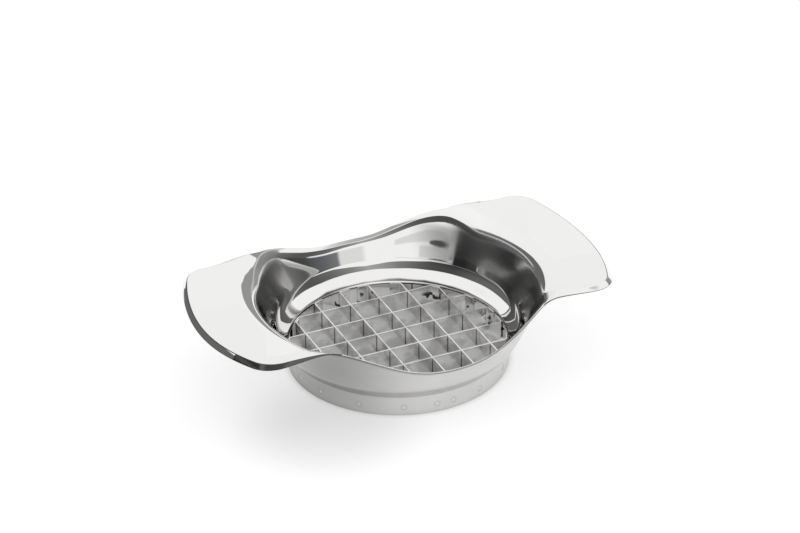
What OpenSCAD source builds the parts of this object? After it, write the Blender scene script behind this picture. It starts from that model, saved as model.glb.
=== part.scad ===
// Hand-press french fry cutter: a pressed stainless bowl with two wing
// handles, and a grid of thin blades spot-welded inside its collar.
// Millimetres. +X runs along the handles, +Z is up, and the origin is the
// centre of the ring that the cutter stands on.

/* [Blades] */
// Distance from an outer blade to the collar's wall, at the middle
edge_room = 14; // [13:0.25:15.5]
// Thickness of the blade strip
blade_t = 0.6; // [0.4:0.1:1]
// Length of the end tab that is welded to the collar
tab_len = 4.5; // [3:0.5:6]
// Length of the tab of an outer blade, which laps over another tab
lap_len = 3; // [2:0.25:3.25]
// Radius to the middle of the strip where a tab is bent over
tab_bend = 1; // [0.7:0.1:1.5]
// Gap between a tab and what it is welded to
tab_gap = 0.08; // [0.07:0.01:0.12]
// Play of a blade in the slot of the blade that it crosses
slot_play = 0.1; // [0.05:0.05:0.3]
// Height of the blades' lower edges above the foot of the collar
blade_lift = 0.35; // [0.2:0.05:1]
// Diameter of a spot weld's mark
weld_d = 2.8; // [2:0.2:3.4]
// Depth of a spot weld's mark in a tab
weld_depth = 0.15; // [0.05:0.05:0.3]
// Height of the spot welds above the foot of the collar
weld_z = 4; // [3:0.25:6]

/* [Collar and bowl] */
// Thickness of the pressed sheet
sheet_t = 0.8; // [0.6:0.1:1]
// Inner diameter of the collar
collar_d = 103; // [101:1:106]
// Height of the collar, up to the corner where the shelf begins
collar_h = 9.8; // [8:0.2:12]
// Horizontal width of the sloping shelf above the blades
shelf_w = 6; // [5:0.1:7]
// Slope of the shelf above the horizontal
shelf_angle = 50; // [46:1:54]
// Slope of the bowl's wall above the horizontal
wall_angle = 65; // [62:1:70]
// Rounding between the collar and the shelf
neck_fillet = 3; // [1.5:0.5:4]
// Rounding between the shelf and the wall
shelf_fillet = 20; // [12:1:22]
// Rounding of the bowl's mouth towards the wings' ends, the front and the back
mouth_fillet = 9.5; // [8:0.5:10.5]
// Further rounding of the mouth where the rim climbs to the wings
side_fillet = 5.5; // [0:0.5:6]
// How far the sheet reaches out past the mouth at the front and back
lip_w = 0; // [0:0.1:1.5]
// Height of the rim at the middle of the front and back
low_z = 31.4; // [28.6:0.1:33]

/* [Wing handles] */
// Length over both wings
overall_l = 201; // [190:1:220]
// Width of a wing
wing_w = 98; // [90:0.5:102]
// Radius of a wing's corners in plan
wing_corner = 13; // [10:1:20]
// Height of the wings' side edges
high_z = 43.8; // [41:0.2:46]
// How far a wing's end sags at its middle
end_sag = 2.8; // [0:0.2:3.4]
// Rise of a wing from the mouth outwards, as a slope
wing_slope = 0.02; // [0:0.01:0.12]
// Further slope of the wings towards their sides
side_slope = 0.17; // [0.08:0.01:0.22]
// Distance from the middle at which the rim has risen to the wings
rise_x = 54; // [51:1:62]
// How late the rim rises, where 1 is an even wave
rise_power = 1.4; // [1.1:0.05:1.8]
// How tightly the bowl's rim runs into the wings' sides
waist = 18; // [14:2:32]
// Radius of the wings' turned-down edge
roll_r = 2.4; // [1.8:0.2:3]
// Angle through which the wings' edge is turned down
roll_angle = 50; // [40:2:74]

/* [Hidden] */

collar_r = collar_d / 2;
// Blades each way, numbered from the -X end and from the front
blade_rows = 6;
// Distance between neighbouring blades, which is the width of one fry
pitch = 2 * (collar_r - edge_room) / (blade_rows - 1);
blade_places = [for (i = [1:blade_rows]) (i - (blade_rows + 1) / 2) * pitch];
outer_place = max(blade_places);

// The blades end just under the corner where the shelf begins
top_gap = 0.15;
blade_top = collar_h - top_gap;
blade_h = blade_top - blade_lift;
blade_mid_z = blade_lift + blade_h / 2;
slot_w = blade_t + slot_play;
cut = 1;

// The collar is pressed this much too long, and then trimmed flat
trim = 1;

// Foot of the wall: the corner between the shelf and the wall
wall_r0 = collar_r + shelf_w;
wall_z0 = collar_h + shelf_w * tan(shelf_angle);

wing_half = wing_w / 2;
wing_end = overall_l / 2;
corner_y = wing_half - wing_corner;
corner_x = sqrt(pow(wing_end - wing_corner, 2) - pow(corner_y, 2));

// The edge is rolled fully up to this bearing, and not at all past the next
roll_full = 38;
roll_none = 54;
// What is left of the roll on the plain rim
plain_roll = 5;
// Least width of the sheet between the mouth's rounding and the roll
least_flat = 0.8;

// Facets of the pressed body: round it, and across each of its bends
around = 108;
neck_steps = 4;
shelf_steps = 3;
mouth_steps = 7;
wing_steps = 5;
roll_steps = 3;
// The bearings crowd towards the wings, where the rim bends most
crowd_2 = 10;
crowd_4 = 2.1;

STEEL = "silver";
BLADE_STEEL = "gainsboro";

// ---------- Plan of the rim ----------

// Distance from the middle to a wing's outline: round end, corner, side
function wing_reach(a) =
    let (c = abs(cos(a)), s = abs(sin(a)), bearing = atan2(s, c))
    let (along = corner_x * c + corner_y * s)
    bearing < atan2(corner_y, corner_x) ? wing_end
    : bearing < atan2(wing_half, corner_x)
        ? along + sqrt(pow(wing_corner, 2) - pow(corner_x, 2) - pow(corner_y, 2) + along * along)
    : wing_half / s;

// The bowl's own rim runs smoothly into the wings' outline
function rim_reach(a, mouth) =
    pow(pow(mouth + lip_w, waist) + pow(wing_reach(a), waist), 1 / waist);

// ---------- Heights ----------

function wall_r(z) = wall_r0 + (z - wall_z0) / tan(wall_angle);

// The rim's wave, from low at the front to high along the wings
function wave_z(x) =
    low_z + (high_z - low_z) * pow((1 - cos(180 * min(abs(x) / rise_x, 1))) / 2, rise_power);

function rim_z(a, reach) =
    wave_z(reach * cos(a))
    - end_sag * pow(max(0, 1 - pow(reach * sin(a) / wing_half, 2)), 1.5);

function flange_slope(a) =
    wing_slope * pow(cos(a), 2) + side_slope * pow(sin(2 * a), 2);

// Radius of the mouth's corner, where the wall and the flange would meet.
// Each step puts the corner at the height that the flange has there.
function mouth_r(a, r = 66, steps = 8) =
    let (reach = rim_reach(a, r))
    let (z = rim_z(a, reach) - flange_slope(a) * (reach - r))
    steps == 0 ? r : mouth_r(a, wall_r(z), steps - 1);

// ---------- Profile of the pressed sheet's upper face at a bearing ----------

function heading(angle) = [cos(angle), sin(angle)];

// Arc that rounds a corner between two headings, as far as the angle "last"
function corner_arc(corner, from, to, radius, steps, last) =
    let (side = to < from ? 1 : -1)
    let (start = corner - radius * tan(abs(from - to) / 2) * heading(from))
    let (centre = start - side * radius * heading(from + 90))
    [
        for (k = [0:steps])
            centre + side * radius * heading(90 + from + (last - from) * k / steps)
    ];

// Share of the turned-down edge that a bearing has
function roll_share(a) =
    let (bearing = atan2(abs(sin(a)), abs(cos(a))))
    let (t = max(0, min(1, (roll_none - bearing) / (roll_none - roll_full))))
    t * t * (3 - 2 * t);

// How much longer a step towards the rim is along the bearing than square to it
function skew(a) =
    let (d = 0.5)
    let (p = rim_reach(a + d, mouth_r(a + d)) * heading(a + d))
    let (q = rim_reach(a - d, mouth_r(a - d)) * heading(a - d))
    let (run = (p - q) / norm(p - q))
    1 / max(0.5, abs(cross(heading(a), run)));

function mouth_round(a) = mouth_fillet + side_fillet * pow(sin(2 * a), 2);

function profile(a) =
    let (mouth = mouth_r(a), reach = rim_reach(a, mouth), fillet = mouth_round(a))
    let (slope = atan(flange_slope(a)))
    let (corner = [mouth, wall_z0 + (mouth - wall_r0) * tan(wall_angle)])
    // The turned-down edge
    let (turn = plain_roll + (roll_angle - plain_roll) * roll_share(a))
    let (stretch = skew(a))
    let (roll_in = stretch * roll_r * (sin(turn - slope) + sin(slope)))
    let (flat_end = reach - roll_in)
    // The mouth's rounding, cut short where the rim is trimmed into it
    let (tangent = fillet * tan((wall_angle - slope) / 2))
    let (round_r = corner[0] - tangent * cos(wall_angle) + fillet * sin(wall_angle))
    let (round_z = corner[1] - tangent * sin(wall_angle) - fillet * cos(wall_angle))
    let (tangent_r = corner[0] + tangent * cos(slope))
    let (flat_r = min(tangent_r, flat_end - least_flat))
    let (last = max(slope, asin(max(-1, min(1, (round_r - flat_r) / fillet)))))
    concat(
        [[collar_r, -trim]],
        corner_arc([collar_r, collar_h], 90, shelf_angle, neck_fillet, neck_steps, shelf_angle),
        corner_arc([wall_r0, wall_z0], shelf_angle, wall_angle, shelf_fillet, shelf_steps, wall_angle),
        corner_arc(corner, wall_angle, slope, fillet, mouth_steps, last),
        [
            for (k = [1:wing_steps])
                let (r = flat_r + (flat_end - flat_r) * k / wing_steps)
                r < tangent_r
                    ? [r, round_z + sqrt(pow(fillet, 2) - pow(round_r - r, 2))]
                    : [r, corner[1] + (r - corner[0]) * tan(slope)]
        ],
        let (edge_z = flat_end < tangent_r
            ? round_z + sqrt(pow(fillet, 2) - pow(round_r - flat_end, 2))
            : corner[1] + (flat_end - corner[0]) * tan(slope))
        [
            for (k = [1:roll_steps])
                let (t = slope - turn * k / roll_steps)
                [
                    flat_end + stretch * roll_r * (sin(slope) - sin(t)),
                    edge_z + roll_r * (cos(t) - cos(slope))
                ]
        ]
    );

// ---------- The pressed body ----------

function bearing_of(i) =
    let (u = 360 * i / around)
    u - crowd_2 * sin(2 * u) + crowd_4 * sin(4 * u);

function turned(point, a) = [point[0] * cos(a), point[0] * sin(a), point[1]];

// Unit vector from the upper face into the sheet, from the neighbouring points
function into_sheet(grid, i, k, rows) =
    let (ahead = grid[(i + 1) % around][k], behind = grid[(i + around - 1) % around][k])
    let (up = grid[i][min(k + 1, rows - 1)], down = grid[i][max(k - 1, 0)])
    let (n = cross(ahead - behind, up - down))
    n / norm(n);

module body() {
    grid = [
        for (i = [0:around - 1])
            let (a = bearing_of(i))
            [for (point = profile(a)) turned(point, a)]
    ];
    rows = len(grid[0]);
    upper = [for (i = [0:around - 1]) for (k = [0:rows - 1]) grid[i][k]];
    lower = [
        for (i = [0:around - 1]) for (k = [0:rows - 1])
            grid[i][k] + sheet_t * into_sheet(grid, i, k, rows)
    ];
    below = around * rows;
    skin = [
        for (i = [0:around - 1]) for (k = [0:rows - 2])
            let (p = i * rows + k, q = ((i + 1) % around) * rows + k)
            each [[p, q + 1, p + 1], [p, q, q + 1]]
    ];
    edges = [
        for (i = [0:around - 1]) for (k = [0, rows - 1])
            let (p = i * rows + k, q = ((i + 1) % around) * rows + k)
            each k == 0
                ? [[p, below + q, q], [p, below + p, below + q]]
                : [[p, q, below + q], [p, below + q, below + p]]
    ];
    color(STEEL)
        difference() {
            polyhedron(
                points = concat(upper, lower),
                faces = concat(
                    skin,
                    [for (f = skin) [below + f[0], below + f[2], below + f[1]]],
                    edges
                ),
                convexity = 6
            );
            translate([-collar_d, -collar_d, -2 * trim])
                cube([2 * collar_d, 2 * collar_d, 2 * trim]);
        }
}

// ---------- The blades ----------

// Radius to the middle of a welded tab, on the collar or lapped on a tab
function tab_r(lapped) =
    collar_r - tab_gap - blade_t / 2 - (lapped ? blade_t + tab_gap : 0);

// Centre of the bend at the end of a blade that runs along Y at x = place
function bend_centre(place, lapped) =
    [place - tab_bend, sqrt(pow(tab_r(lapped) - tab_bend, 2) - pow(place - tab_bend, 2))];

// One side of a blade's end: round the bend, then along the collar's wall
function end_side(place, lapped, side) =
    let (centre = bend_centre(place, lapped), meets = atan2(centre[1], centre[0]))
    let (sweep = (lapped ? lap_len : tab_len) / tab_r(lapped) * 180 / PI)
    concat(
        [for (k = [0:8]) centre + (tab_bend + side) * heading(meets * k / 8)],
        [for (k = [1:4]) (tab_r(lapped) + side) * heading(meets + sweep * k / 4)]
    );

function reversed(list) = [for (k = [len(list) - 1:-1:0]) list[k]];

// Plan of a blade that runs along Y at x = place, its tabs turned to the middle
function blade_plan(place, lapped) =
    let (outer = end_side(place, lapped, blade_t / 2))
    let (inner = end_side(place, lapped, -blade_t / 2))
    concat(
        outer,
        reversed(inner),
        [for (p = inner) [p[0], -p[1]]],
        [for (p = reversed(outer)) [p[0], -p[1]]]
    );

// Two blades cross where the slot stays clear of the bend at either's end
function crosses(place, other) =
    abs(other) + slot_w / 2 < bend_centre(abs(place), false)[1];

// A strip with a bent tab at each end, half slots from above or from below,
// and the round marks of its spot welds
module blade(place, slots_up, lapped, marked) {
    near = abs(place);
    centre = bend_centre(near, lapped);
    weld_a = atan2(centre[1], centre[0])
        + (lapped ? lap_len : tab_len) / 2 / tab_r(lapped) * 180 / PI;
    slot_low = slots_up ? blade_mid_z - slot_play / 2 : blade_lift - cut;
    slot_high = slots_up ? blade_top + cut : blade_mid_z + slot_play / 2;
    color(BLADE_STEEL)
        mirror([place < 0 ? 1 : 0, 0, 0])
            difference() {
                translate([0, 0, blade_lift])
                    linear_extrude(blade_h)
                        polygon(blade_plan(near, lapped));
                for (other = blade_places)
                    if (crosses(near, other) && crosses(other, near))
                        translate([near - cut, other - slot_w / 2, slot_low])
                            cube([2 * cut, slot_w, slot_high - slot_low]);
                if (marked)
                    for (end = [-1, 1])
                        rotate([0, 0, end * weld_a])
                            translate([tab_r(lapped) - blade_t / 2 + weld_depth, 0, weld_z])
                                rotate([0, -90, 0])
                                    cylinder(d = weld_d, h = weld_depth + cut / 2, $fn = 48);
            }
}

function is_outer(place) = abs(place) > outer_place - pitch / 2;

// Runs across the handles, with its slots below. The two outer ones lap over
// the tabs of the outer long blades.
module cross_blade(i) {
    place = blade_places[i - 1];
    blade(place, slots_up = false, lapped = is_outer(place), marked = true);
}

// Runs along the handles, with its slots above
module long_blade(i) {
    place = blade_places[i - 1];
    mirror([1, -1, 0])
        blade(place, slots_up = true, lapped = false, marked = !is_outer(place));
}

body();
for (i = [1:blade_rows]) {
    cross_blade(i);
    long_blade(i);
}
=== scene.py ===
"""Looks of a hand-press french fry cutter: polished pressed steel over a welded blade grid."""

import logging
from dataclasses import dataclass, field
from enum import Enum
from functools import reduce
from math import asin, atan, atan2, cos, degrees, pi, radians, sin, sqrt, tan
from typing import Any, Optional

import bmesh
import bpy
from mathutils import Matrix, Vector


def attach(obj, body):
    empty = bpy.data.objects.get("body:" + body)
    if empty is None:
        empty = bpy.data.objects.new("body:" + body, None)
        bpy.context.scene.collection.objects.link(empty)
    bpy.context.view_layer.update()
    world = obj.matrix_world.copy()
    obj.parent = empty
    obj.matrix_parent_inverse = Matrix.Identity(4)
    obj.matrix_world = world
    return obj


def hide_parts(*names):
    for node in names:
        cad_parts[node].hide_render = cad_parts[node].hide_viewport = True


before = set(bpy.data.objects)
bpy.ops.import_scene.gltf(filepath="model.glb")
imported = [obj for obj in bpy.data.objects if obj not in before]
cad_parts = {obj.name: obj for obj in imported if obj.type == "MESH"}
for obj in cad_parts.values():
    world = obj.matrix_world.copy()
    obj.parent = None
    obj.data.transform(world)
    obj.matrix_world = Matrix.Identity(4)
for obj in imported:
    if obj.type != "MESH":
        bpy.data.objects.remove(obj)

LOG = logging.getLogger("fry_cutter")
MM = 0.001
PHOTO_WIDTH = 800
Number = "float | Wire"
Span = tuple[float, float]
Scale = tuple[float, float, float]
Stops = tuple[tuple[float, Any], ...]
Colour = tuple[float, float, float, float]
Socket = bpy.types.NodeSocket
Material = bpy.types.Material
Mesh = bmesh.types.BMesh
Face = bmesh.types.BMFace
Vertex = bmesh.types.BMVert


# ---------- Shader maths ----------


class Wire:
    """One output socket of a shader tree, which Python expressions can work with."""

    def __init__(self, tree: "ShaderTree", socket: Socket) -> None:
        """Wraps an output socket of the tree that new nodes are added to."""
        self.tree = tree
        self.socket = socket

    def _maths(self, operation: str, *values: Number) -> "Wire":
        """Returns the result of a new Math node."""
        node = self.tree.add("ShaderNodeMath", {"operation": operation}, dict(enumerate(values)))
        return Wire(self.tree, node.outputs[0])

    def __add__(self, other: Number) -> "Wire":
        """Returns self + other."""
        return self._maths("ADD", self, other)

    __radd__ = __add__

    def __sub__(self, other: Number) -> "Wire":
        """Returns self - other."""
        return self._maths("SUBTRACT", self, other)

    def __rsub__(self, other: Number) -> "Wire":
        """Returns other - self."""
        return self._maths("SUBTRACT", other, self)

    def __mul__(self, other: Number) -> "Wire":
        """Returns self * other."""
        return self._maths("MULTIPLY", self, other)

    __rmul__ = __mul__

    def __truediv__(self, other: Number) -> "Wire":
        """Returns self / other."""
        return self._maths("DIVIDE", self, other)

    def __rtruediv__(self, other: Number) -> "Wire":
        """Returns other / self."""
        return self._maths("DIVIDE", other, self)

    def __abs__(self) -> "Wire":
        """Returns the distance from zero."""
        return self._maths("ABSOLUTE", self)

    def least(self, other: Number) -> "Wire":
        """Returns the smaller of two values."""
        return self._maths("MINIMUM", self, other)

    def most(self, other: Number) -> "Wire":
        """Returns the larger of two values."""
        return self._maths("MAXIMUM", self, other)

    def root(self) -> "Wire":
        """Returns the square root."""
        return self._maths("SQRT", self)

    def wrapped(self) -> "Wire":
        """Returns the share of the whole step that self has gone."""
        return self._maths("FRACT", self)

    def cosine(self) -> "Wire":
        """Returns the cosine of an angle in degrees."""
        return self._maths("COSINE", self * radians(1))

    def height_angle(self) -> "Wire":
        """Returns the angle whose sine is self, in degrees."""
        return self._maths("ARCSINE", self) * degrees(1)

    def bearing(self, across: "Wire") -> "Wire":
        """Returns the angle whose tangent is self / across, in degrees."""
        return self._maths("ARCTAN2", self, across) * degrees(1)

    def step(self, low: float, high: float) -> "Wire":
        """Rises smoothly from 0 to 1 as self goes from low to high.

        Args:
            low: Where the result is 0.
            high: Where the result is 1. It may be the smaller number.

        Returns:
            The smooth step.
        """
        turned = low > high
        node = self.tree.add(
            "ShaderNodeMapRange",
            {"interpolation_type": "SMOOTHSTEP", "clamp": True},
            {
                "Value": self,
                "From Min": min(low, high),
                "From Max": max(low, high),
                "To Min": 1.0 if turned else 0.0,
                "To Max": 0.0 if turned else 1.0,
            },
        )
        return Wire(self.tree, node.outputs["Result"])


def distance(*offsets: Wire) -> Wire:
    """Returns the length of a step from its offsets, which are square to each other."""
    return sum(offset * offset for offset in offsets).root()


class ShaderTree:
    """A material's or the world's node tree while it is being built."""

    def __init__(self, owner: "Material | bpy.types.World") -> None:
        """Empties the owner's tree.

        Args:
            owner: The material or the world.
        """
        owner.use_nodes = True
        self.nodes = owner.node_tree.nodes
        self.links = owner.node_tree.links
        self.nodes.clear()

    def feed(self, socket: Socket, value: Any) -> None:
        """Sets or links one input socket.

        Args:
            socket: The input socket.
            value: A number, a colour, a Wire or an output socket.
        """
        if isinstance(value, Wire):
            self.links.new(value.socket, socket)
        elif isinstance(value, Socket):
            self.links.new(value, socket)
        else:
            socket.default_value = value

    def add(
        self,
        kind: str,
        settings: Optional[dict[str, Any]] = None,
        sockets: Optional[dict[Any, Any]] = None,
    ) -> bpy.types.Node:
        """Adds any node.

        Args:
            kind: The node's type.
            settings: Its settings, which are set first. "stops" are a colour
                ramp's pairs of a position and a grey level or colour.
            sockets: Values or links by the name or number of the input.

        Returns:
            The node.
        """
        node = self.nodes.new(kind)
        for name, value in (settings or {}).items():
            if name != "stops":
                setattr(node, name, value)
                continue
            stops = node.color_ramp.elements
            while len(stops) < len(value):
                stops.new(0.5)
            for stop, (place, level) in zip(stops, value):
                stop.position = place
                stop.color = grey(level) if isinstance(level, float) else level
        for name, value in (sockets or {}).items():
            self.feed(node.inputs[name], value)
        return node

    def ramp(self, turn: Wire, stops: Stops) -> Socket:
        """Reads a level that changes with the bearing.

        Args:
            turn: The bearing, from -180 to 180 degrees.
            stops: Pairs of a bearing and a grey level or colour.

        Returns:
            The socket of the level.
        """
        pairs = tuple(((turn_at + 180.0) / 360.0, level) for turn_at, level in stops)
        share = (turn + 180.0) / 360.0
        return self.add("ShaderNodeValToRGB", {"stops": pairs}, {"Fac": share}).outputs[0]

    def value(self, node: bpy.types.Node, output: "str | int" = 0) -> Wire:
        """Returns one output of a node as a Wire."""
        return Wire(self, node.outputs[output])

    def axes(self, source: Socket) -> tuple[Wire, Wire, Wire]:
        """Returns the X, Y and Z of a vector."""
        node = self.add("ShaderNodeSeparateXYZ", None, {"Vector": source})
        return tuple(Wire(self, out) for out in node.outputs)

    def combined(self, x: Number, y: Number, z: Number) -> Socket:
        """Returns the vector or colour of three values."""
        return self.add("ShaderNodeCombineXYZ", None, {"X": x, "Y": y, "Z": z}).outputs[0]

    def object_point(self) -> Socket:
        """Returns the socket of the point on the object, in metres."""
        return self.add("ShaderNodeTexCoord").outputs["Object"]

    def stretched(self, vector: Socket, scale: Scale) -> Socket:
        """Returns a scaled point, so that a pattern on it is drawn out."""
        return self.add("ShaderNodeMapping", None, {"Vector": vector, "Scale": scale}).outputs[0]

    def noise(
        self, vector: Socket, scale: float = 1.0, detail: float = 2.0, roughness: float = 0.5
    ) -> Wire:
        """Returns noise from 0 to 1, with its waves to a metre and its octaves."""
        values = {"Vector": vector, "Scale": scale, "Detail": detail, "Roughness": roughness}
        return self.value(self.add("ShaderNodeTexNoise", None, values))

    def mix(self, share: Number, first: Any, second: Any) -> Socket:
        """Returns a mix of two colours, with a share of the second."""
        node = self.add("ShaderNodeMix", {"data_type": "RGBA"}, {0: share, 6: first, 7: second})
        return node.outputs[2]

    def bump(self, relief: Wire, depth: float) -> Socket:
        """Returns the normal of a surface with a relief, whose depth is in metres."""
        sockets = {"Strength": 1.0, "Distance": depth, "Height": relief}
        return self.add("ShaderNodeBump", None, sockets).outputs[0]

    def end_in_metal(
        self, color: Any, roughness: Number, normal: Optional[Socket] = None
    ) -> None:
        """Ends a material's tree in bare metal.

        Args:
            color: The metal's colour.
            roughness: Its roughness.
            normal: Its normal, where it has a relief.
        """
        sockets = {"Base Color": color, "Metallic": 1.0, "Roughness": roughness}
        if normal is not None:
            sockets["Normal"] = normal
        shader = self.add("ShaderNodeBsdfPrincipled", None, sockets)
        self.add("ShaderNodeOutputMaterial", None, {"Surface": shader.outputs[0]})


def grey(level: float) -> Colour:
    """Returns a neutral linear colour."""
    return (level, level, level, 1.0)


def steel(level: float) -> Colour:
    """Returns a linear colour with the faint warmth of stainless steel."""
    return (level, level * 0.995, level * 0.985, 1.0)


# ---------- Finishes ----------


class Finish:
    """A finish, each kind of which paints its own shader tree."""

    name: str

    def material(self) -> Material:
        """Builds the finish.

        Returns:
            The new material.
        """
        material = bpy.data.materials.new(self.name)
        self.paint(ShaderTree(material))
        return material

    def paint(self, tree: ShaderTree) -> None:
        """Fills the material's tree."""
        raise NotImplementedError


@dataclass(frozen=True)
class PolishedSteel(Finish):
    """Mirror-polished sheet with faint forming rings, a rougher polish on the wall's ends, and
    painted shade that darkens the wall towards the wings.

    Each pair of places, in metres, is where a mark starts and where it is full.
    """

    name: str = "polished_steel"
    level: float = 0.865
    roughness: float = 0.025
    smear: float = 0.02
    smear_scale: Scale = (30.0, 30.0, 90.0)
    smear_from: Span = (0.45, 0.8)
    ring_rate: float = 3000.0
    ring_turn: float = 0.026
    ring_depth: float = 0.00000015
    # Painted shade: the darker colour of the wall's ends, and where it starts and where it is
    # full.
    dull_and_shaded_level: float = 0.43
    shaded_wall_ends: Span = (0.03, 0.046)
    shaded_wall_foot: Span = (0.0165, 0.019)
    shaded_wall_head: Span = (0.037, 0.033)
    blur: float = 0.12
    blur_left: Span = (-0.033, -0.042)
    blur_right: Span = (0.043, 0.052)
    blur_foot: Span = (0.02, 0.023)
    blur_head: Span = (0.039, 0.036)

    def paint(self, tree: ShaderTree) -> None:
        """Fills the material's tree.

        Args:
            tree: The empty tree.
        """
        point = tree.object_point()
        x, y, z = tree.axes(point)
        smear = tree.noise(tree.stretched(point, self.smear_scale), detail=4.0, roughness=0.6)
        around = y.bearing(x) * self.ring_turn
        section = tree.combined(distance(x, y) * self.ring_rate, z * self.ring_rate, around)
        rings = tree.noise(section, detail=1.0)
        # Painted shade: the wall's ends are coloured darker, standing in for dark reflections; the
        # blur below is a real rougher polish.
        shaded_wall = abs(x).step(*self.shaded_wall_ends)
        shaded_wall = shaded_wall * z.step(*self.shaded_wall_foot) * z.step(*self.shaded_wall_head)
        color = tree.mix(shaded_wall, steel(self.level), steel(self.dull_and_shaded_level))
        blur = x.step(*self.blur_left) + x.step(*self.blur_right)
        blur = blur * z.step(*self.blur_foot) * z.step(*self.blur_head)
        rough = self.roughness + self.smear * smear.step(*self.smear_from) + self.blur * blur
        tree.end_in_metal(color, rough, tree.bump(rings, self.ring_depth))


@dataclass(frozen=True)
class Welds:
    """The spot welds between the blades' tabs and the collar, in millimetres and degrees.

    The turns are counted both ways from the middle of each side.
    """

    turns: tuple[float, ...] = (4.5, 21.8, 45.0)
    reach: float = 52.3
    height: float = 4.2
    radius: float = 1.9
    depth: float = 0.3
    dish_power: float = 1.5

    def bearings(self) -> list[float]:
        """Returns the bearings of all the welds, each corner's once."""
        both = [sign * turn for turn in self.turns for sign in (-1, 1)]
        return sorted({round(side + turn, 3) % 360 for side in (0, 90, 180, 270) for turn in both})


@dataclass(frozen=True)
class SatinSteel(Finish):
    """The outside of the bowl and collar: a soft polish, with painted shade that darkens it
    towards one wing.

    Each spot weld shows as a pale spot in a darker ring.
    """

    welds: Welds = Welds()
    name: str = "satin_steel"
    level: float = 0.7
    # Painted shade towards the left wing: its share of the level, and where it starts and where it
    # is full.
    shaded_side_share: float = 0.64
    shaded_side_from: Span = (-0.02, -0.055)
    cloud_share: float = 0.12
    cloud_scale: Scale = (60.0, 60.0, 120.0)
    roughness: float = 0.24
    grain: float = 0.06
    grain_scale: Scale = (900.0, 900.0, 2500.0)
    grain_depth: float = 0.000002
    neck: Span = (0.0087, 0.0077)
    ring_share: float = 0.16
    ring_level: float = 0.1
    ring_fade: Span = (1.0, 0.8)
    spot_share: float = 0.3
    spot_level: float = 0.95
    spot_fade: Span = (0.7, 0.2)

    def paint(self, tree: ShaderTree) -> None:
        """Fills the material's tree.

        Args:
            tree: The empty tree.
        """
        point = tree.object_point()
        x, y, z = tree.axes(point)
        cloud = tree.noise(tree.stretched(point, self.cloud_scale), detail=3.0, roughness=0.55)
        fine = tree.noise(tree.stretched(point, self.grain_scale), roughness=0.6)
        rough = self.roughness + self.grain * (cloud - 0.5) + self.grain * (fine - 0.5)
        # Painted shade: the side towards the left wing is coloured darker, standing in for the
        # wing's shadow that the bowl mirrors.
        shaded_side = steel(self.level * self.shaded_side_share)
        color = tree.mix(x.step(*self.shaded_side_from), steel(self.level), shaded_side)
        color = tree.mix(self.cloud_share * cloud, color, grey(0.0))
        away = self.distance_to_weld(x, y, z)
        low = z.step(*self.neck)
        ring = self.ring_share * low * self.faded(away, self.ring_fade)
        color = tree.mix(ring, color, grey(self.ring_level))
        spot = self.spot_share * low * self.faded(away, self.spot_fade)
        color = tree.mix(spot, color, grey(self.spot_level))
        tree.end_in_metal(color, rough, tree.bump(fine, self.grain_depth))

    def distance_to_weld(self, x: Wire, y: Wire, z: Wire) -> Wire:
        """Works out how far the nearest weld is along the collar's outside.

        Args:
            x: The point's place along the handles.
            y: Its place across them.
            z: Its height.

        Returns:
            The distance in metres.
        """
        quarter = 90.0
        sides = (y.bearing(x) + quarter / 2) / quarter
        aside = abs((sides.wrapped() - 0.5) * quarter)
        above = z - self.welds.height * MM
        along = [(aside - turn) * radians(self.welds.reach * MM) for turn in self.welds.turns]
        return reduce(Wire.least, (distance(offset, above) for offset in along))

    def faded(self, away: Wire, fade: Span) -> Wire:
        """Returns 1 within a share of a weld's radius, and fades to 0 outwards."""
        radius = self.welds.radius * MM
        return away.step(radius * fade[0], radius * fade[1])


@dataclass(frozen=True)
class TrimmedEdge(Finish):
    """The cut edge of the sheet: rougher than its faces, and coloured dark as painted shade that
    stands in for dark reflections, darkest at one corner.
    """

    name: str = "shaded_trimmed_edge"
    # Painted shade: these dark levels stand in for dark reflections on the rim; the roughness is
    # its real duller finish.
    level: float = 0.2
    corner_shade_level: float = 0.11
    corner_shade_from: Span = (0.0, -0.02)
    roughness: float = 0.15
    grain: float = 0.15
    grain_rate: float = 1500.0

    def paint(self, tree: ShaderTree) -> None:
        """Fills the material's tree.

        Args:
            tree: The empty tree.
        """
        point = tree.object_point()
        x, y, _ = tree.axes(point)
        # Painted shade: darker still at the front corner of the left wing.
        corner_shade = x.step(*self.corner_shade_from) * y.step(*self.corner_shade_from)
        color = tree.mix(corner_shade, steel(self.level), steel(self.corner_shade_level))
        grain = tree.noise(point, self.grain_rate)
        tree.end_in_metal(color, self.roughness + self.grain * (grain - 0.5))


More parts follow.
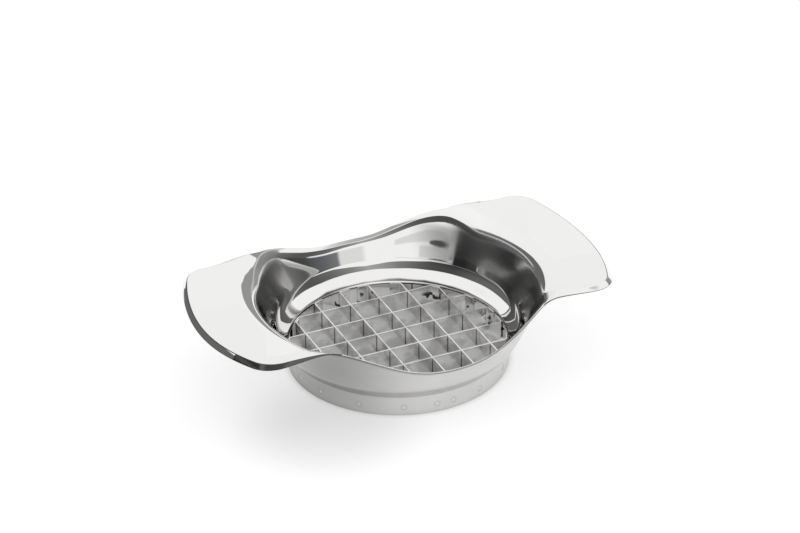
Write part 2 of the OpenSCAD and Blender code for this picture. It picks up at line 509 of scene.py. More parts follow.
@dataclass(frozen=True)
class BladeSteel(Finish):
    """Rolled strip with fine lengthwise grinding.

    It is burnt where it is welded, and painted dark in the gaps where blades cross, as painted
    shade for the shadow in the slots.
    """

    name: str = "blade_steel"
    level: float = 0.82
    dull_and_shaded_level: float = 0.6
    dull_from: Span = (0.4, 0.62)
    dull_scale: Scale = (110.0, 110.0, 160.0)
    roughness: float = 0.13
    grind: float = 0.12
    grind_scale: Scale = (150.0, 150.0, 5000.0)
    burn_level: float = 0.06
    burn_roughness: float = 0.1
    burn_rate: float = 260.0
    burn_from: Span = (0.56, 0.64)
    burn_reach: Span = (0.0468, 0.0488)
    burn_head: Span = (0.0075, 0.0055)
    pitch: float = 0.015
    gap: float = 0.0005
    gap_fade: Span = (1.6, 0.5)
    gap_shade_level: float = 0.1
    gap_head: Span = (0.00915, 0.00815)

    def paint(self, tree: ShaderTree) -> None:
        """Fills the material's tree.

        Args:
            tree: The empty tree.
        """
        point = tree.object_point()
        x, y, z = tree.axes(point)
        grind = tree.noise(tree.stretched(point, self.grind_scale), detail=3.0, roughness=0.6)
        cloud = tree.noise(tree.stretched(point, self.dull_scale))
        color = tree.mix(cloud.step(*self.dull_from), steel(self.level), steel(self.dull_and_shaded_level))
        # Painted shade: the slots where blades cross are coloured dark for the shadow in them.
        gap = self.near_line(x) * self.near_line(y) * z.step(*self.gap_head)
        color = tree.mix(gap, color, grey(self.gap_shade_level))
        blot = tree.noise(point, self.burn_rate, detail=1.0).step(*self.burn_from)
        burn = distance(x, y).step(*self.burn_reach) * blot * z.step(*self.burn_head)
        color = tree.mix(burn, color, grey(self.burn_level))
        rough = self.roughness + self.grind * (grind - 0.5) + self.burn_roughness * burn
        tree.end_in_metal(color, rough)

    def near_line(self, place: Wire) -> Wire:
        """Returns 1 beside a line of the grid and 0 away from it."""
        beside = abs((place * (1.0 / self.pitch)).wrapped() - 0.5) * self.pitch
        return beside.step(self.gap * self.gap_fade[0], self.gap * self.gap_fade[1])


def new_object(name: str, mesh: Mesh, finishes: list[Material]) -> bpy.types.Object:
    """Makes an object.

    Args:
        name: Its name.
        mesh: Its mesh, which is freed.
        finishes: Its materials in order.

    Returns:
        The object.
    """
    data = bpy.data.meshes.new(name)
    mesh.to_mesh(data)
    mesh.free()
    for material in finishes:
        data.materials.append(material)
    piece = bpy.data.objects.new(name, data)
    bpy.context.scene.collection.objects.link(piece)
    return piece


# ---------- The pressed body ----------


class Skin(Enum):
    """The faces of the pressed sheet, in the order of the piece's materials."""

    INSIDE = 0
    OUTSIDE = 1
    EDGE = 2


class RimStrip(Enum):
    """The strips of the rim beyond the flange, outwards."""

    BEND = 0
    RUN = 1
    CUT = 2


@dataclass(frozen=True)
class Roll:
    """How the rim rolls over at one bearing. Angles are degrees, lengths millimetres."""

    slope: float
    tilt: float
    rounded: float
    run: float
    stretch: float


def heading(angle: float) -> Vector:
    """Returns the unit vector at an angle in degrees."""
    return Vector((cos(radians(angle)), sin(radians(angle))))


def turn_from_x(x: float, y: float) -> float:
    """Returns the angle between a direction and the line of the handles, from 0 to 90 degrees."""
    return degrees(atan2(abs(y), abs(x)))


def smooth(value: float, low: float, high: float) -> float:
    """Rises smoothly from 0 to 1 as a value goes from low to high."""
    share = min(max((value - low) / (high - low), 0.0), 1.0)
    return share * share * (3 - 2 * share)


@dataclass
class PressedBody:
    """The pressed sheet: collar, shelf, bowl wall, mouth and both wings.

    Sizes are millimetres and degrees, as in the construction. Turns are
    degrees from the line of the handles.
    """

    overall: float = 200.4
    wing_w: float = 97.4
    high_z: float = 43.72
    low_z: float = 31.05
    sheet: float = 0.8
    collar_r: float = 51.5
    collar_h: float = 9.8
    shelf_w: float = 6.0
    shelf_angle: float = 50.0
    wall_angle: float = 65.0
    wall_crown: float = 0.8
    neck_fillet: float = 3.0
    shelf_fillet: float = 20.0
    mouth_fillet: float = 9.5
    side_fillet: float = 5.5
    mouth_guess: float = 66.0
    mouth_rounds: int = 8
    wing_corner: float = 13.0
    end_sag: float = 2.8
    sag_power: float = 1.5
    wing_slope: float = 0.02
    side_slope: float = 0.17
    rise_x: float = 54.0
    rise_power: float = 1.4
    waist: float = 18.0
    skew_span: float = 0.5
    least_sine: float = 0.5
    least_flat: float = 0.8
    roll_r: float = 1.0
    roll_angle: float = 54.0
    plain_roll: float = 5.0
    roll_turns: Span = (45.0, 27.0)
    roll_run: float = 2.6
    rounding: float = 0.35
    rounding_angle: float = 80.0
    plain_rounding: float = 8.0
    rounding_turns: Span = (52.0, 42.0)
    # Painted shade on the rim: these bound the rim faces that take the edge finish's dark colour.
    edge_turn: float = 45.0
    shaded_run_turn: float = 17.0
    bright_bend_y: float = -20.0
    crease: float = 40.0
    welds: Welds = Welds()
    crowding: Span = (10.0, 2.1)
    around: int = 480
    collar_steps: int = 18
    neck_steps: int = 8
    slant_steps: int = 3
    shelf_steps: int = 8
    wall_steps: int = 10
    mouth_steps: int = 16
    wing_steps: int = 18
    roll_steps: int = 8
    run_steps: int = 3
    rounding_steps: int = 3

    def __post_init__(self) -> None:
        """Works out the places that follow from the sizes."""
        self.wall_r0 = self.collar_r + self.shelf_w
        self.wall_z0 = self.collar_h + self.shelf_w * tan(radians(self.shelf_angle))
        self.wing_half = self.wing_w / 2
        self.wing_end = self.overall / 2
        self.corner_y = self.wing_half - self.wing_corner
        self.corner_x = sqrt((self.wing_end - self.wing_corner) ** 2 - self.corner_y**2)

    def wing_reach(self, bearing: float) -> float:
        """Measures a wing.

        Args:
            bearing: Degrees from +X.

        Returns:
            The distance from the middle to the wing's outline.
        """
        c, s = abs(cos(radians(bearing))), abs(sin(radians(bearing)))
        turn = turn_from_x(c, s)
        if turn < turn_from_x(self.corner_x, self.corner_y):
            return self.wing_end
        if turn < turn_from_x(self.corner_x, self.wing_half):
            along = self.corner_x * c + self.corner_y * s
            inside = self.wing_corner**2 - self.corner_x**2 - self.corner_y**2
            return along + sqrt(inside + along**2)
        return self.wing_half / s

    def rim_reach(self, bearing: float, mouth: float) -> float:
        """Returns the distance from the middle to the rim, which blends mouth and wings."""
        wing = self.wing_reach(bearing)
        return (mouth**self.waist + wing**self.waist) ** (1 / self.waist)

    def rim_z(self, bearing: float, reach: float) -> float:
        """Works out the height of the rim before it rolls over.

        Args:
            bearing: Degrees from +X.
            reach: The rim's distance from the middle.

        Returns:
            The height.
        """
        x, y = reach * cos(radians(bearing)), reach * sin(radians(bearing))
        rise = (1 - cos(pi * min(abs(x) / self.rise_x, 1))) / 2
        height = self.low_z + (self.high_z - self.low_z) * rise**self.rise_power
        return height - self.end_sag * max(0.0, 1 - (y / self.wing_half) ** 2) ** self.sag_power

    def flange_slope(self, bearing: float) -> float:
        """Returns the rise of the flange per millimetre outwards."""
        turn = radians(bearing)
        return self.wing_slope * cos(turn) ** 2 + self.side_slope * sin(2 * turn) ** 2

    def wall_rise(self, length: float) -> float:
        """Returns the rise of the bowl's wall over a length outwards."""
        return length * tan(radians(self.wall_angle))

    def mouth_r(self, bearing: float) -> float:
        """Finds where the wall and the flange would meet, by going round a few times.

        Args:
            bearing: Degrees from +X.

        Returns:
            Its distance from the middle.
        """
        radius = self.mouth_guess
        for _ in range(self.mouth_rounds):
            reach = self.rim_reach(bearing, radius)
            height = self.rim_z(bearing, reach) - self.flange_slope(bearing) * (reach - radius)
            radius = self.wall_r0 + (height - self.wall_z0) / self.wall_rise(1.0)
        return radius

    def skew(self, bearing: float) -> float:
        """Compares a step along the bearing with a step square to the rim.

        Args:
            bearing: Degrees from +X.

        Returns:
            How much longer the step along the bearing is.
        """
        beside = (bearing - self.skew_span, bearing + self.skew_span)
        before, after = (self.rim_reach(b, self.mouth_r(b)) * heading(b) for b in beside)
        run, way = (after - before).normalized(), heading(bearing)
        return 1 / max(self.least_sine, abs(way.x * run.y - way.y * run.x))

    def roll_at(self, bearing: float) -> Roll:
        """Works out how the rim rolls over: fully along the wings, hardly at the front.

        Args:
            bearing: Degrees from +X.

        Returns:
            The roll.
        """
        turn = turn_from_x(cos(radians(bearing)), sin(radians(bearing)))
        slope = degrees(atan(self.flange_slope(bearing)))
        share = smooth(turn, *self.roll_turns)
        roll = self.plain_roll + (self.roll_angle - self.plain_roll) * share
        rest = self.rounding_angle - self.plain_rounding
        rounded = self.plain_rounding + rest * smooth(turn, *self.rounding_turns)
        return Roll(slope, roll - slope, rounded, self.roll_run * share, self.skew(bearing))

    def rolled(self, edge: Vector, roll: Roll) -> list[Vector]:
        """Draws the rolled rim: a bend, a straight run and the rounded cut.

        Args:
            edge: The end of the flange.
            roll: How the rim rolls over.

        Returns:
            The points after the end of the flange.
        """
        tilt, stretch = radians(roll.tilt), roll.stretch
        points = self.bend(edge, roll.slope, -roll.tilt, self.roll_r, self.roll_steps, stretch)
        onward = roll.run / self.run_steps * Vector((stretch * cos(tilt), -sin(tilt)))
        for _ in range(self.run_steps):
            points.append(points[-1] + onward)
        last, steps = points[-1], self.rounding_steps
        return points + self.bend(last, -roll.tilt, -roll.rounded, self.rounding, steps, stretch)

    @staticmethod
    def bend(
        edge: Vector, start: float, end: float, radius: float, steps: int, stretch: float
    ) -> list[Vector]:
        """Bends the sheet downwards from its end.

        Args:
            edge: The last point so far.
            start: Heading there, in degrees.
            end: Heading after the bend.
            radius: Radius of the bend.
            steps: Steps along it.
            stretch: How much longer a step outwards is along the bearing.

        Returns:
            The points of the bend after its first.
        """
        points = []
        for k in range(1, steps + 1):
            now = start + (end - start) * k / steps
            out = stretch * radius * (sin(radians(start)) - sin(radians(now)))
            up = radius * (cos(radians(now)) - cos(radians(start)))
            points.append(edge + Vector((out, up)))
        return points

    @staticmethod
    def corner_arc(
        corner: Vector, start: float, end: float, radius: float, steps: int, last: float
    ) -> list[Vector]:
        """Rounds a corner between two headings.

        Args:
            corner: Where the two straight runs would meet.
            start: Heading before the corner, in degrees.
            end: Heading after it.
            radius: Radius of the rounding.
            steps: Steps along the arc.
            last: Heading at which the arc stops.

        Returns:
            The points of the arc.
        """
        side = 1 if end < start else -1
        first = corner - radius * tan(radians(abs(start - end) / 2)) * heading(start)
        centre = first - side * radius * heading(start + 90)
        return [
            centre + side * radius * heading(90 + start + (last - start) * k / steps)
            for k in range(steps + 1)
        ]

    def profile(self, bearing: float) -> list[Vector]:
        """Works out the sheet's upper face at a bearing.

        Args:
            bearing: Degrees from +X.

        Returns:
            Points of radius and height, from the foot to the rolled edge.
        """
        roll, slant = self.roll_at(bearing), self.shelf_angle
        foot, corner = Vector((self.collar_r, 0.0)), Vector((self.collar_r, self.collar_h))
        neck = self.corner_arc(corner, 90, slant, self.neck_fillet, self.neck_steps, slant)
        corner, rise = Vector((self.wall_r0, self.wall_z0)), self.wall_angle + self.wall_crown
        shelf = self.corner_arc(corner, slant, rise, self.shelf_fillet, self.shelf_steps, rise)
        flange = self.mouth_and_flange(bearing, roll)
        points = [foot.lerp(neck[0], k / self.collar_steps) for k in range(self.collar_steps)]
        points += neck
        points += [
            neck[-1].lerp(shelf[0], k / self.slant_steps) for k in range(1, self.slant_steps)
        ]
        points += shelf
        points += self.crowned(shelf[-1], flange[0])
        points += flange
        points += self.rolled(flange[-1], roll)
        return points

    def mouth_and_flange(self, bearing: float, roll: Roll) -> list[Vector]:
        """Draws the rounding of the mouth and the flange or wing beyond it.

        Args:
            bearing: Degrees from +X.
            roll: How the rim rolls over there.

        Returns:
            The points from the top of the wall to the end of the flange.
        """
        slope = roll.slope
        mouth = self.mouth_r(bearing)
        flat_end = self.rim_reach(bearing, mouth) - self.rolled(Vector((0, 0)), roll)[-1].x
        corner = Vector((mouth, self.wall_z0 + self.wall_rise(mouth - self.wall_r0)))
        fillet = self.mouth_fillet + self.side_fillet * sin(radians(2 * bearing)) ** 2
        rise = self.wall_angle - self.wall_crown
        tangent = fillet * tan(radians((rise - slope) / 2))
        centre = corner - tangent * heading(rise) + fillet * heading(rise - 90)
        tangent_r = corner.x + tangent * cos(radians(slope))
        flat_r = min(tangent_r, flat_end - self.least_flat)
        last = max(slope, degrees(asin(max(-1.0, min(1.0, (centre.x - flat_r) / fillet)))))
        points = self.corner_arc(corner, rise, slope, fillet, self.mouth_steps, last)
        for k in range(1, self.wing_steps + 1):
            radius = flat_r + (flat_end - flat_r) * k / self.wing_steps
            if radius < tangent_r:
                height = centre.y + sqrt(fillet**2 - (centre.x - radius) ** 2)
            else:
                height = corner.y + (radius - corner.x) * tan(radians(slope))
            points.append(Vector((radius, height)))
        return points

    def crowned(self, low: Vector, high: Vector) -> list[Vector]:
        """Draws the wall, which is very slightly crowned.

        Args:
            low: Its lower end.
            high: Its upper end.

        Returns:
            The points between the ends.
        """
        length = (high - low).length
        first = length * heading(self.wall_angle + self.wall_crown)
        last = length * heading(self.wall_angle - self.wall_crown)
        points = []
        for k in range(1, self.wall_steps):
            t = k / self.wall_steps
            a, b = 2 * t**3 - 3 * t**2 + 1, t**3 - 2 * t**2 + t
            points.append(a * low + b * first + (1 - a) * high + (t**3 - t**2) * last)
        return points

    def column(self, place: int) -> list[Vector]:
        """Places a profile in space. The profiles crowd where the rim bends.

        Args:
            place: Which of the profiles, counted around from +X.

        Returns:
            Its points in metres.
        """
        u, (twice, four_times) = 360 * place / self.around, self.crowding
        bearing = u - twice * sin(radians(2 * u)) + four_times * sin(radians(4 * u))
        way, points = heading(bearing), [point * MM for point in self.profile(bearing)]
        return [Vector((point.x * way.x, point.x * way.y, point.y)) for point in points]

    def build(self, finishes: list[Material]) -> bpy.types.Object:
        """Draws the sheet up from a ring, row by row, and gives it its thickness.

        Args:
            finishes: The materials in the order of Skin.

        Returns:
            The finished piece.
        """
        mesh = bmesh.new()
        rim = self.draw_up(mesh)
        inner = list(mesh.faces)
        mesh.normal_update()
        if max(inner, key=lambda face: face.calc_center_median().z).normal.z < 0:
            bmesh.ops.reverse_faces(mesh, faces=inner)
        marks = set(inner)
        bmesh.ops.solidify(mesh, geom=inner, thickness=self.sheet * MM)
        for face in mesh.faces:
            beside = {other for edge in face.edges for other in edge.link_faces}
            face.smooth = True
            face.material_index = (Skin.INSIDE if beside & marks else Skin.OUTSIDE).value
        # Painted shade: rim faces along the wings take the edge finish's dark colour.
        for strip, faces in rim.items():
            for face in faces:
                if self.gets_rim_shade(strip, face.calc_center_median()):
                    face.material_index = Skin.EDGE.value
        self.press_dimples(mesh)
        piece = new_object("pressed_sheet", mesh, finishes)
        piece.data.set_sharp_from_angle(angle=radians(self.crease))
        return piece

    def draw_up(self, mesh: Mesh) -> dict[RimStrip, list[Face]]:
        """Draws the sheet's upper face by extruding a ring from profile to profile.

        Args:
            mesh: The mesh to draw in.

        Returns:
            The faces of the strips of its rim.
        """
        rows = list(zip(*(self.column(place) for place in range(self.around))))
        rim: dict[RimStrip, list[Face]] = {strip: [] for strip in RimStrip}
        strips = [RimStrip.BEND] * (self.roll_steps // 2)
        strips += [RimStrip.RUN] * self.run_steps + [RimStrip.CUT] * self.rounding_steps
        radius = self.collar_r * MM
        ring = bmesh.ops.create_circle(mesh, segments=self.around, radius=radius)["verts"]
        before = len(rows) - len(strips)
        for number, row in enumerate(rows):
            if number > 0:
                pairs = zip(ring, ring[1:] + ring[:1])
                edges = [next(e for e in a.link_edges if e.other_vert(a) == b) for a, b in pairs]
                grown = bmesh.ops.extrude_edge_only(mesh, edges=edges)["geom"]
                fresh = {part for part in grown if isinstance(part, Vertex)}
                ring = [
                    next(e.other_vert(v) for e in v.link_edges if e.other_vert(v) in fresh)
                    for v in ring
                ]
                if number >= before:
                    rim[strips[number - before]] += [f for f in grown if isinstance(f, Face)]
            for vertex, place in zip(ring, row):
                vertex.co = place
        return rim

    def gets_rim_shade(self, strip: RimStrip, place: Vector) -> bool:
        """Tells which faces of the rim along the wings get the edge finish with its painted shade.

        Args:
            strip: A strip of the rim.
            place: The middle of one of its faces, in metres.

        Returns:
            Whether the face has the finish of the cut edge.
        """
        turn = turn_from_x(place.x, place.y)
        if strip is RimStrip.BEND and place.x > 0 and place.y < self.bright_bend_y * MM:
            return False
        if strip is RimStrip.RUN:
            return self.shaded_run_turn < turn < self.edge_turn and place.x < 0 and place.y < 0
        return turn < self.edge_turn

    def press_dimples(self, mesh: Mesh) -> None:
        """Presses the dimples of the spot welds into the collar's outside.

        Args:
            mesh: The sheet with its thickness.
        """
        welds = self.welds
        skin = (self.collar_r + self.sheet / 2) * MM
        low = [v for v in mesh.verts if v.co.z < self.collar_h * MM and v.co.xy.length > skin]
        for bearing in welds.bearings():
            way = heading(bearing)
            centre = Vector((welds.reach * way.x, welds.reach * way.y, welds.height)) * MM
            for vertex in low:
                share = 1 - ((vertex.co - centre).length / (welds.radius * MM)) ** 2
                if share > 0:
                    vertex.co.xy -= way * (welds.depth * MM * share**welds.dish_power)


# ---------- The blade grid ----------


@dataclass
class BladeGrid:
    """The welded blades, which keep the construction's solids."""

    finish: BladeSteel = field(default_factory=BladeSteel)

    def dress(self) -> list[str]:
        """Gives every blade its finish.

        Returns:
            The blades' names.
        """
        material = self.finish.material()
        names = sorted(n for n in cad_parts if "_blade_" in n)
        for name in names:
            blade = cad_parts[name]
            blade.data.materials.clear()
            blade.data.materials.append(material)
        return names


# ---------- Studio and camera ----------


@dataclass(frozen=True)
class Floor(Finish):
    """A plain pale table, whose glow drops beside and under the cutter as a painted shadow. Sizes
    are metres.
    """

    name: str = "floor"
    half: float = 3.0
    level: float = 0.9
    mirrored_level: float = 0.5
    roughness: float = 0.9
    glow: float = 0.69
    shade_glow: float = 0.56
    shade_x: float = -0.055
    shade_y: float = -0.044
    shade_fade: Span = (0.055, 0.015)
    under_shadow_glow: float = 0.26
    under_shadow_fade: Span = (0.056, 0.048)

    def build(self) -> None:
        """Lays the table under the cutter."""
        mesh = bmesh.new()
        bmesh.ops.create_grid(mesh, x_segments=1, y_segments=1, size=self.half)
        floor = new_object(self.name, mesh, [self.material()])

    def paint(self, tree: ShaderTree) -> None:
        """Fills the material's tree.

        Args:
            tree: The empty tree.
        """
        path = tree.add("ShaderNodeLightPath")
        seen = tree.value(path, "Is Camera Ray") + tree.value(path, "Is Glossy Ray")
        seen = (seen + tree.value(path, "Is Transmission Ray")).least(1.0)
        x, y, _ = tree.axes(tree.object_point())
        # Painted shadow: the glow is lowered under the front corner of the left wing and inside
        # the collar.
        shade = distance(x - self.shade_x, y - self.shade_y).step(*self.shade_fade)
        under_shadow = distance(x, y).step(*self.under_shadow_fade)
        glow = tree.mix(shade, grey(self.glow), grey(self.shade_glow))
        glow = tree.mix(under_shadow, glow, grey(self.under_shadow_glow))
        shader = tree.add(
            "ShaderNodeBsdfPrincipled",
            None,
            {
                "Base Color": tree.mix(seen, grey(self.level), grey(self.mirrored_level)),
                "Roughness": self.roughness,
                "Specular IOR Level": 0.0,
                "Emission Color": tree.mix(seen, grey(0.0), glow),
                "Emission Strength": 1.0,
            },
        )
        tree.add("ShaderNodeOutputMaterial", None, {"Surface": shader.outputs[0]})


@dataclass(frozen=True)
class Sight:
    """A direction in the world: its bearing, and its height above the horizon or a line."""

    tree: ShaderTree
    turn: Wire
    height: Wire

    def level(self, stops: Stops) -> Socket:
        """Returns a level that changes with the bearing."""
        return self.tree.ramp(self.turn, stops)

    def over(self, line: Number) -> "Sight":
        """Returns the same direction, with its height above a line."""
        return Sight(self.tree, self.turn, self.height - line)

    def over_edge(self, stops: Stops, full: float = 90.0) -> "Sight":
        """Returns the same direction, with its height above an edge of angles up to full."""
        shares = tuple((place, angle / full) for place, angle in stops)
        return self.over(Wire(self.tree, self.level(shares)) * full)


@dataclass(frozen=True)
class Stand:
    """A dark stand or its clamp, which the bowl's wall mirrors."""

    bearing: float
    height: float
    half_turn: float
    half_height: float
    level: float
    outline: Span = (1.1, 0.9)

    def inside(self, sight: Sight) -> Wire:
        """Draws the stand's round outline.

        Args:
            sight: The direction, over the line that the wall mirrors.

        Returns:
            1 inside it and 0 outside.
        """
        aside = (sight.turn - self.bearing) / self.half_turn
        above = (sight.height - self.height) / self.half_height
        return (aside * aside + above * above).step(*self.outline)


@dataclass(frozen=True)
class Tube:
    """A soft light tube near the ceiling's lowest edge, which slants beyond a bearing."""

    height: float = 21.0
    half_height: float = 3.0
    slant: float = 0.72
    slant_from: float = -128.0
    left: Span = (-162.0, -150.0)
    right: Span = (-114.0, -122.0)
    level: float = 0.68

    def share(self, sight: Sight) -> Wire:
        """Draws the tube.

        Args:
            sight: The direction.

        Returns:
            Its strength, from 0 to 1.
        """
        drop = self.slant * (sight.turn - self.slant_from).least(0.0)
        share = 1.0 - abs(sight.height - self.height - drop) / self.half_height
        return share.most(0.0) * sight.turn.step(*self.left) * sight.turn.step(*self.right)


@dataclass(frozen=True)
class Cards:
    """The pale cards behind the camera, with dark stands before them.

    Heights are degrees above the line that the bowl's wall mirrors.
    """

    level: float = 0.77
    left: Span = (-4.0, 0.0)
    right: Span = (50.0, 48.5)
    foot: Span = (-0.75, -0.6)
    head: float = 0.9
    head_fade: Span = (0.1, -0.1)
    middle: float = 25.0
    droop: float = 0.02
    low_left: Span = (18.0, 20.0)
    low_head: Span = (-0.95, -1.1)
    stands: tuple[Stand, ...] = (
        Stand(36.0, -0.7, 9.0, 0.3, 0.12),
        Stand(47.5, 0.4, 3.5, 0.3, 0.13),
        Stand(48.0, -1.9, 3.5, 0.4, 0.1),
    )

    def paint(self, sight: Sight, room: Socket) -> Socket:
        """Paints the cards and stands over the room.

        Args:
            sight: The direction, over the line that the wall mirrors.
            room: The socket of the room's colour so far.

        Returns:
            The socket of the new colour.
        """
        turn, height = sight.turn, sight.height
        within = turn.step(*self.right)
        across = turn.step(*self.left) * within
        over_head = height - self.head + self.droop * abs(turn - self.middle)
        upper = across * height.step(*self.foot) * over_head.step(*self.head_fade)
        lower = across * turn.step(*self.low_left) * height.step(*self.low_head)
        room = sight.tree.mix(upper.most(lower), room, grey(self.level))
        for stand in self.stands:
            room = sight.tree.mix(stand.inside(sight) * within, room, grey(stand.level))
        return room


@dataclass(frozen=True)
class Studio:
    """A soft white room, described the way the polished steel mirrors it.

    Bearings are degrees clockwise from straight behind the camera, and
    heights are degrees above the horizon. From the horizon upwards come the
    wall with its cards, a line along its top, a band of shade, the ceiling's
    edge with an arch of shade over it, and the white ceiling.
    """

    behind: float = -155.36
    soft: Span = (-0.6, 0.6)
    wall_height: float = 19.8
    wall_turn: float = 2.0
    wall_rate: float = 0.78
    wall_head: Span = (1.7, 2.3)
    wall: Stops = (
        (-180, 0.2), (-110, 0.12), (-97, 0.06), (-84, 0.065),
        (-76, (0.098, 0.1, 0.108, 1.0)), (-65, (0.135, 0.14, 0.152, 1.0)),
        (-53, (0.2, 0.205, 0.215, 1.0)), (-50.5, 0.79), (-31, 0.79), (-27, 1.0),
        (48.5, 1.0), (50.5, 0.042), (60, 0.042), (66, 0.075), (72, 0.09), (80, 0.092),
        (88, 0.07), (93, 0.042), (105, 0.024), (115, 0.05), (180, 0.1),
    )
    line: Stops = (
        (-180, 0.4), (-110, 0.3), (-97, 0.1), (-82, 0.1), (-78, 0.9), (-50, 1.0),
        (45, 1.0), (52, 0.27), (110, 0.27), (180, 0.27),
    )
    line_edge: Stops = (
        (-180, 2.0), (-85, 2.5), (-60, 6.0), (-50, 10.0), (-40, 13.0), (-31, 16.0),
        (-18, 14.0), (-7, 10.3), (2, 9.2), (12, 8.3), (21, 6.8), (30, 4.0), (50, 3.5),
        (70, 4.5), (110, 5.0), (180, 5.0),
    )
    band: Stops = (
        (-180, 0.33), (-130, 0.33), (-124, 0.27), (-118, 0.22), (-110, 0.17),
        (-100, 0.12), (-92, 0.1), (-84, 0.1), (-65, 0.15), (-45, 0.26), (-30, 0.4),
        (-18, 0.35), (-7, 0.29), (2, 0.22), (12, 0.17), (21, 0.125), (36, 0.08),
        (55, 0.062), (65, 0.09), (75, 0.12), (90, 0.142), (180, 0.142),
    )
    ceiling_edge: Stops = (
        (-180, 3), (-173, 3), (-171.5, 23), (-161, 25.6), (-155, 31.2), (-149, 36.8),
        (-143, 40.8), (-138, 41), (-131, 32.9), (-128, 26.5), (-122, 18.7),
        (-116, 15.9), (-110, 18.3), (-106, 20.5), (-98, 24.3), (-90, 28.8),
        (-81, 33.4), (-64, 38.6), (-40, 44), (-10, 47.7), (2, 48), (32, 45.6),
        (47, 42.6), (64, 38.4), (79, 33.5), (90, 28.7), (106, 21.5), (111, 19),
        (117, 15.8), (121, 13), (127, 9.5),
    )
    edge_level: Stops = ((-180, 1.0), (126, 1.0), (129, 0.142), (180, 0.142))
    edge_height: float = 2.9
    arch: Stops = (
        (-180, 1.0), (-85, 1.0), (-70, 0.7), (-50, 0.5), (45, 0.42), (55, 0.142), (180, 0.142),
    )
    arch_edge: Stops = (
        (-180, 66), (33, 66), (38, 47.5), (50, 42), (56, 42), (60, 45.2), (64, 47.6),
        (68, 46.9), (76, 47), (84, 45.4), (92, 42.4), (100, 38.6), (108, 35.1),
        (116, 32.6), (124, 30.5), (132, 29), (136, 27.1), (140, 25.6), (144, 21.5),
        (148, 14.9), (152, 8.2), (156, 3), (158, 0), (180, 0),
    )
    high_gain: float = 0.04
    high_middle: float = 45.0
    high_reach: float = 30.0
    cards: Cards = Cards()
    tube: Tube = Tube()
    floor: Floor = Floor()

    def build(self) -> None:
        """Lays the floor and lights the world."""
        self.floor.build()
        self.light_world()

    def light_world(self) -> None:
        """Sets the world to the room, which the camera itself sees as plain white."""
        world = bpy.data.worlds.new("studio")
        bpy.context.scene.world = world
        tree = ShaderTree(world)
        x, y, z = tree.axes(tree.add("ShaderNodeTexCoord").outputs["Generated"])
        east, north = sin(radians(self.behind)), cos(radians(self.behind))
        turn = (x * north - y * east).bearing(x * east + y * north)
        sight = Sight(tree, turn, z.most(-1.0).least(1.0).height_angle())
        room = self.paint_wall(sight)
        room = tree.mix(self.tube.share(sight), room, grey(self.tube.level))
        room = self.paint_ceiling(sight, room)
        seen = tree.value(tree.add("ShaderNodeLightPath"), "Is Camera Ray")
        sockets = {"Color": tree.mix(seen, room, grey(1.0)), "Strength": 1.0}
        back = tree.add("ShaderNodeBackground", None, sockets)
        tree.add("ShaderNodeOutputWorld", None, {"Surface": back.outputs[0]})

    def paint_wall(self, sight: Sight) -> Socket:
        """Paints the wall with its cards, the line along its top and the band of shade.

        Args:
            sight: The direction.

        Returns:
            The socket of the colour.
        """
        mirrored = self.wall_height * ((sight.turn - self.wall_turn) * self.wall_rate).cosine()
        sight = sight.over(mirrored)
        room = self.cards.paint(sight, sight.level(self.wall))
        share = sight.height.step(*self.wall_head)
        room = sight.tree.mix(share, room, sight.level(self.line))
        return self.paint_above(sight.over_edge(self.line_edge), room, sight.level(self.band))

    def paint_ceiling(self, sight: Sight, room: Socket) -> Socket:
        """Paints the ceiling's edge, the arch of shade and the ceiling over the room.

        Args:
            sight: The direction.
            room: The socket of the room's colour so far.

        Returns:
            The socket of the new colour.
        """
        edge = sight.over_edge(self.ceiling_edge)
        room = self.paint_above(edge, room, sight.level(self.edge_level))
        room = self.paint_above(edge.over(self.edge_height), room, sight.level(self.arch))
        high = (sight.height - self.high_middle) / self.high_reach
        white = 1.0 + self.high_gain * high.most(-1.0).least(1.0)
        ceiling = sight.tree.combined(white, white, white)
        return self.paint_above(sight.over_edge(self.arch_edge), room, ceiling)

    def paint_above(self, sight: Sight, room: Socket, color: Socket) -> Socket:
        """Returns the room's colour with a new colour above the sight's line."""
        return sight.tree.mix(sight.height.step(*self.soft), room, color)


@dataclass(frozen=True)
class PhotoCamera:
    """The camera of the photograph, solved from the blade grid.

    Angles are degrees and lengths millimetres, except the focal length, which
    is pixels of the photograph.
    """

    azimuth: float = -24.64
    elevation: float = 30.46
    roll: float = -0.43
    distance: float = 1863.0
    aside: float = -0.97
    below: float = -33.74
    focus_z: float = 9.645
    focal_pixels: float = 3957.0
    sensor: float = 36.0
    far: float = 20.0

    def build(self) -> None:
        """Puts the camera in place."""
        a, e, r = radians(self.azimuth), radians(self.elevation), radians(self.roll)
        back = Vector((sin(a) * cos(e), -cos(a) * cos(e), sin(e)))
        level_right = (-back).cross(Vector((0, 0, 1))).normalized()
        level_up = level_right.cross(-back)
        right = cos(r) * level_right + sin(r) * level_up
        up = cos(r) * level_up - sin(r) * level_right
        place = -(self.aside * right + self.below * up - self.distance * back)
        place += Vector((0, 0, self.focus_z))
        data = bpy.data.cameras.new("photo_camera")
        data.sensor_width = self.sensor
        data.lens = self.focal_pixels * self.sensor / PHOTO_WIDTH
        data.clip_end = self.far
        camera = bpy.data.objects.new("photo_camera", data)
        turn = Matrix((right, up, back)).transposed().to_4x4()
        camera.matrix_world = Matrix.Translation(place * MM) @ turn
        bpy.context.scene.collection.objects.link(camera)
        bpy.context.scene.camera = camera


# ---------- Building it all ----------


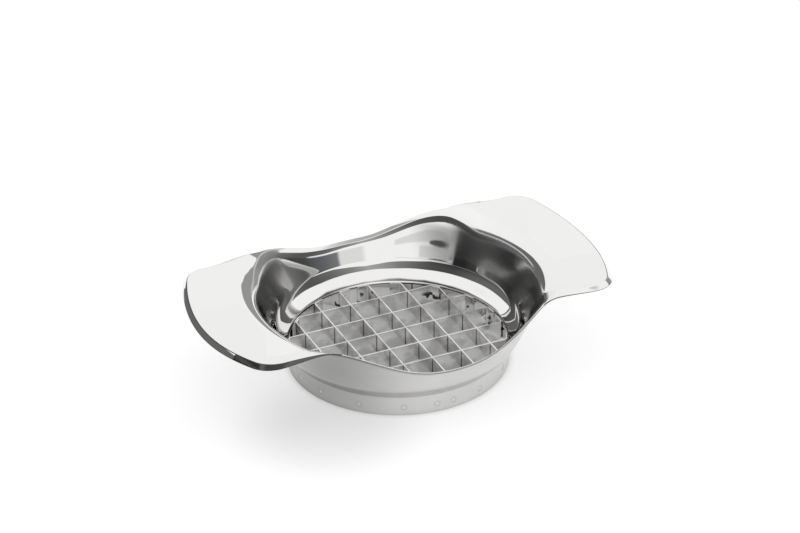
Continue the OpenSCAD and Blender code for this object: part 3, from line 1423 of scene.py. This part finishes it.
def main() -> None:
    """Builds the looks of the cutter in order."""
    logging.basicConfig(level=logging.INFO, format="%(message)s")
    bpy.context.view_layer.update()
    PhotoCamera().build()
    LOG.info("camera: in place")
    skins = [PolishedSteel().material(), SatinSteel().material(), TrimmedEdge().material()]
    sheet = PressedBody().build(skins)
    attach(sheet, "root")
    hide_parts("body")
    LOG.info("pressed sheet: %d faces", len(sheet.data.polygons))
    LOG.info("blades: %s", ", ".join(BladeGrid().dress()))
    Studio().build()
    LOG.info("studio: in place")
    bpy.context.scene.view_settings.view_transform = "Standard"


if __name__ == "__main__":
    main()
